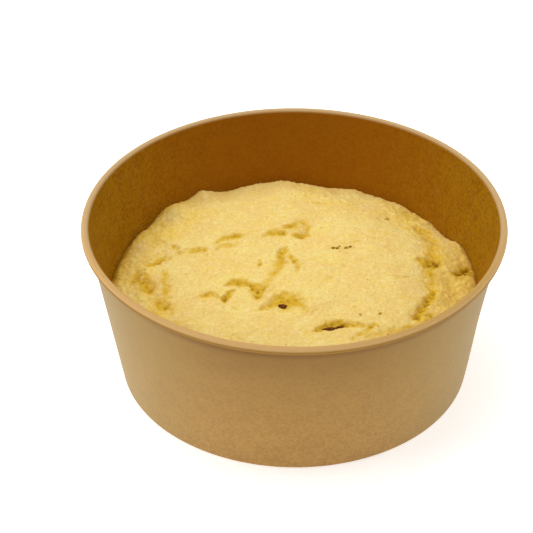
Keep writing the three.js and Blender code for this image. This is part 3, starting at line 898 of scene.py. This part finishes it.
# the top from the relief, a side that follows the wall down, and a flat underside
def makePaste(finish):
    axis, height, looks = pasteRelief()
    rings, floor = paste["rings"], paste["floor"]
    rim = 6 * rings

    def topAt(x, y):
        return sampled(axis, height, np.asarray(x, float), np.asarray(y, float))

    def edgeRadius(angle):
        z = topAt(paste["nearWall"] * np.cos(angle), paste["nearWall"] * np.sin(angle))
        return innerRadius(z) + wallWave(angle, z) + paste["bite"]

    x, y = topPlan(rings, edgeRadius)
    angle = np.arange(rim) / rim * 2 * np.pi
    floorRadius = innerRadius(floor) + wallWave(angle, floor) - paste["floorGap"]
    top = np.column_stack([x, y, topAt(x, y)])
    bottomX, bottomY = floorRadius * np.cos(angle), floorRadius * np.sin(angle)
    bottom = np.column_stack([bottomX, bottomY, np.full(rim, floor)])
    points = np.vstack([top, bottom, [[0, 0, floor]]])
    faces = topFaces(rings)
    edge, low, middle = ringStart(rings), len(top), len(points) - 1
    for i in range(rim):
        j = (i + 1) % rim
        faces.append((edge + i, low + i, low + j, edge + j))
        faces.append((middle, low + j, low + i))
    piece = meshPiece("hummusPaste", points, faces, [finish])
    for name, grid in looks.items():
        storeValues(piece, name, np.concatenate([sampled(axis, grid, x, y), np.zeros(rim + 1)]))
    return piece, topAt


pasteLook = {
    "warm": (236, 201, 118),
    "bright": (239, 213, 130),
    # tints, in the order in which they are laid on: a colour and its largest share
    "butter": ((240, 208, 92), 0.4),
    "ring": ((248, 211, 88), 0.6),  # in the rough ring by the wall
    "gold": ((230, 186, 50), 0.38),  # in patches of that ring
    "pale": ((249, 231, 160), 0.4),
    "shade": ((217, 178, 82), 0.36),
    "front": ((200, 168, 98), 0.13),  # it is a little duller towards the front
    # painted shade of the paste along the wall: a golden tint, then a dark olive
    "edgeShadeGold": ((230, 186, 50), 0.4),
    "edge": ((186, 142, 20), 0.9),
    # painted shade in hollows, and a painted highlight on crests
    "sunkenShade": ((215, 171, 30), 0.4),
    "raised": ((249, 231, 160), 0.4),
    # creases and their stains: partly oil, partly painted shade, and darkest in painted shade where the
    # relief is low
    "crease": ((215, 171, 30), 0.92),
    "creaseDark": ((136, 94, 0), 0.92),
    "frontSpan": (12, 42),  # millimetres from the middle
    # sizes of its patches and specks in millimetres
    "patch": 12,
    "swirl": 6.0,
    "goldPatch": 5.6,
    "crumb": 2.2,
    "clot": 1.3,
    "grain": 0.9,
    "fineGrain": 0.3,
    "grainDepth": 0.3,
}


def pasteFinish():
    look = pasteLook
    finish = Finish("hummusPaste", {
        "Specular IOR Level": 0.1,
        "Subsurface Weight": 0.12,
        "Subsurface Radius": (1.0, 0.6, 0.15),
        "Subsurface Scale": 0.003,
    })
    deep, rough = finish.stored("deep"), finish.stored("rough")
    cavity, edge = finish.stored("cavity"), finish.stored("edge")
    patches = finish.noise(look["patch"], 3.0, 0.6).between(0.35, 0.7)
    crumb = finish.noise(look["crumb"], 4.0, 0.7)
    speckle = finish.noise(look["grain"], 2.0, 0.6)
    swirl = finish.noise(look["swirl"], 3.0, 0.55, (1.0, 1.7, 1.0)).between(0.46, 0.68)
    golden = finish.noise(look["goldPatch"], 3.0, 0.6).between(0.42, 0.66)
    colour = finish.blend(patches, look["warm"], look["bright"])
    colour = colour.tinted(look["butter"], swirl)
    colour = colour.tinted(look["ring"], rough.between(0.4, 1.0))
    colour = colour.tinted(look["gold"], golden * rough.between(0.35, 0.9))
    colour = colour.tinted(look["pale"], speckle.between(0.52, 0.68) * 0.9 + crumb.between(0.48, 0.68))
    colour = colour.tinted(look["shade"], (1 - speckle).between(0.52, 0.68))
    colour = colour.tinted(look["front"], (-finish.along(1)).within(look["frontSpan"]))
    colour = colour.tinted(look["edgeShadeGold"], edge.between(0.0, 0.25))
    colour = colour.tinted(look["edge"], edge.between(0.2, 1.0))
    colour = colour.tinted(look["sunkenShade"], cavity.between(0.25, 1.0))
    colour = colour.tinted(look["raised"], (-cavity).between(0.3, 1.0))
    # the stain of a crease, partly oil and partly painted shade, has a ragged edge, and painted shade makes
    # it darkest where the relief is low
    clotted = finish.noise(look["clot"], 3.0, 0.6).between(0.33, 0.67)
    ragged = deep * (0.75 + 0.4 * clotted) + (speckle - 0.5) * 0.12
    colour = colour.tinted(look["crease"], ragged.between(0.0, 0.75))
    darkest = ragged + cavity * ragged.between(0.1, 0.6) * 0.22
    finish.feed("Base Color", colour.tinted(look["creaseDark"], darkest.between(0.68, 1.55)))
    finish.feed("Roughness", 0.6 - deep.between(0.0, 1.0) * 0.15 + crumb * 0.15)
    fine = finish.noise(look["fineGrain"], 2.0, 0.5)
    finish.relief(speckle + fine * 0.4, look["grainDepth"], 0.6)
    return finish.material


hummus, topAt = makePaste(pasteFinish())
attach(hummus, "root")
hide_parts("hummus")
print("hummus made,", len(hummus.data.polygons), "faces")


# bits caught in the top, each row x, y, length, width, thickness and turn in degrees
bits = {
    "dark": [
        (-4.2, -19.3, 3.1, 2.2, 1.2, 0), (12, -31.4, 4.4, 1.8, 1.3, 12), (15.2, -30.1, 4.4, 1.3, 1.1, 24),
    ],
    "darkColours": ((138, 80, 20), (78, 30, 2)),
    "green": [
        (13.9, 14.5, 1.3, 1.2, 0.9, -20), (15.3, 13.7, 1.2, 0.9, 0.8, 20), (16.1, 15.1, 0.8, 0.7, 0.7, 0),
        (18.5, 14.2, 1.4, 1.1, 0.9, 25), (20.0, 14.9, 1.2, 0.9, 0.8, 30),
    ],
    "greenColours": ((176, 142, 44), (120, 90, 8)),
    "faint": [
        (34.2, 38.6, 1.9, 1.4, 0.9, 60), (29.8, -21.8, 1.2, 1.4, 0.8, 80), (22.8, -23.3, 1.1, 1.0, 0.7, 0),
    ],
    "faintColours": ((214, 184, 92), (184, 154, 60)),
    # how many, from and to which radius, size, and length in widths
    "pale": (80, 0, 64, (0.3, 0.75), (0.6, 1.6)),
    "paleColours": ((236, 206, 118), (212, 180, 88)),
    "paleThickness": 0.4,
    "raise": 0.05,  # of its thickness, from the paste up to its middle
}


# ragged flattened balls, sunk to their middles in the paste
def makeBits(name, rows, finish, detail):
    mesh = bmesh.new()
    for k, (x, y, length, width, thickness, turn) in enumerate(rows):
        ball = bmesh.ops.create_icosphere(mesh, subdivisions=detail, radius=0.5)
        c, s = math.cos(math.radians(turn)), math.sin(math.radians(turn))
        z = float(topAt(x, y)) + bits["raise"] * thickness
        for vertex in ball["verts"]:
            p = vertex.co
            ragged = 1 + 0.3 * float(lumps(np.array(p.x * 4 + p.z * 3), np.array(p.y * 4 + k * 9), 1, 51))
            px, py = p.x * length * ragged, p.y * width * ragged
            vertex.co = Vector((x + px * c - py * s, y + px * s + py * c, z + p.z * thickness)) * mm
    data = bpy.data.meshes.new(name)
    mesh.to_mesh(data)
    mesh.free()
    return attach(addPiece(name, data, [finish]), "root")


def bitFinish(name, colours, roughness):
    light, dark = colours
    finish = Finish(name, {"Roughness": roughness, "Specular IOR Level": 0.08})
    finish.feed("Base Color", finish.blend(finish.noise(0.9, 3.0, 0.6).between(0.35, 0.7), dark, light))
    finish.relief(finish.noise(0.4, 2.0), 0.1, 0.6)
    return finish.material


# specks of nearly the paste's own colour, scattered all over
def paleRows():
    random = np.random.default_rng(19)
    places = scatter(random, *bits["pale"])
    turns = random.uniform(0, 180, len(places))
    thickness = bits["paleThickness"]
    return [(x, y, size * slim, size, thickness, turn) for (x, y, size, slim), turn in zip(places, turns)]


makeBits("darkBits", bits["dark"], bitFinish("darkBit", bits["darkColours"], 0.45), 3)
makeBits("greenSpecks", bits["green"], bitFinish("greenSpeck", bits["greenColours"], 0.6), 2)
makeBits("faintSpecks", bits["faint"], bitFinish("faintSpeck", bits["faintColours"], 0.6), 2)
makeBits("paleSpecks", paleRows(), bitFinish("paleSpeck", bits["paleColours"], 0.6), 1)
print("bits made")


stage = {
    "floor": (252, 252, 250),
    "floorDark": (249, 249, 247),
    "floorPatch": 60,
    "floorHalf": 3000,
    "floorGlow": 0.5,  # it is lit from below too, as a light table is
    "sky": 0.36,
    "aim": (0, 0, 0.03),  # where the lights point, in metres
    "lights": {  # size, place in metres, and power
        "overhead": (0.9, (-0.2, 0.2, 1.05), 6.2),
        "left": (0.6, (-0.65, -0.1, 0.62), 2.1),
        "right": (0.5, (0.62, 0.1, 0.6), 1.4),
    },
}


def makeFloor():
    constants = {
        "Roughness": 0.9, "Specular IOR Level": 0.2,
        "Emission Color": (1, 1, 1, 1), "Emission Strength": stage["floorGlow"],
    }
    finish = Finish("floor", constants)
    patches = finish.noise(stage["floorPatch"])
    finish.feed("Base Color", finish.blend(patches, stage["floorDark"], stage["floor"]))
    half = stage["floorHalf"]
    corners = [(-half, -half, 0), (half, -half, 0), (half, half, 0), (-half, half, 0)]
    meshPiece("floor", corners, [(0, 1, 2, 3)], [finish.material])


def makeLight(name, size, place, power):
    data = bpy.data.lights.new(name, "AREA")
    data.size = size
    data.energy = power
    lamp = bpy.data.objects.new(name, data)
    lamp.location = place
    towards = Vector(stage["aim"]) - Vector(place)
    lamp.rotation_euler = towards.to_track_quat("-Z", "Y").to_euler()
    bpy.context.scene.collection.objects.link(lamp)


def makeSky():
    sky = bpy.data.worlds.new("sky")
    sky.use_nodes = True
    background = sky.node_tree.nodes["Background"]
    background.inputs["Color"].default_value = (1, 1, 1, 1)
    background.inputs["Strength"].default_value = stage["sky"]
    bpy.context.scene.world = sky


makeFloor()
for name, (size, place, power) in stage["lights"].items():
    makeLight(name, size, place, power)
makeSky()
bpy.context.scene.view_settings.view_transform = "Standard"
print("stage set")
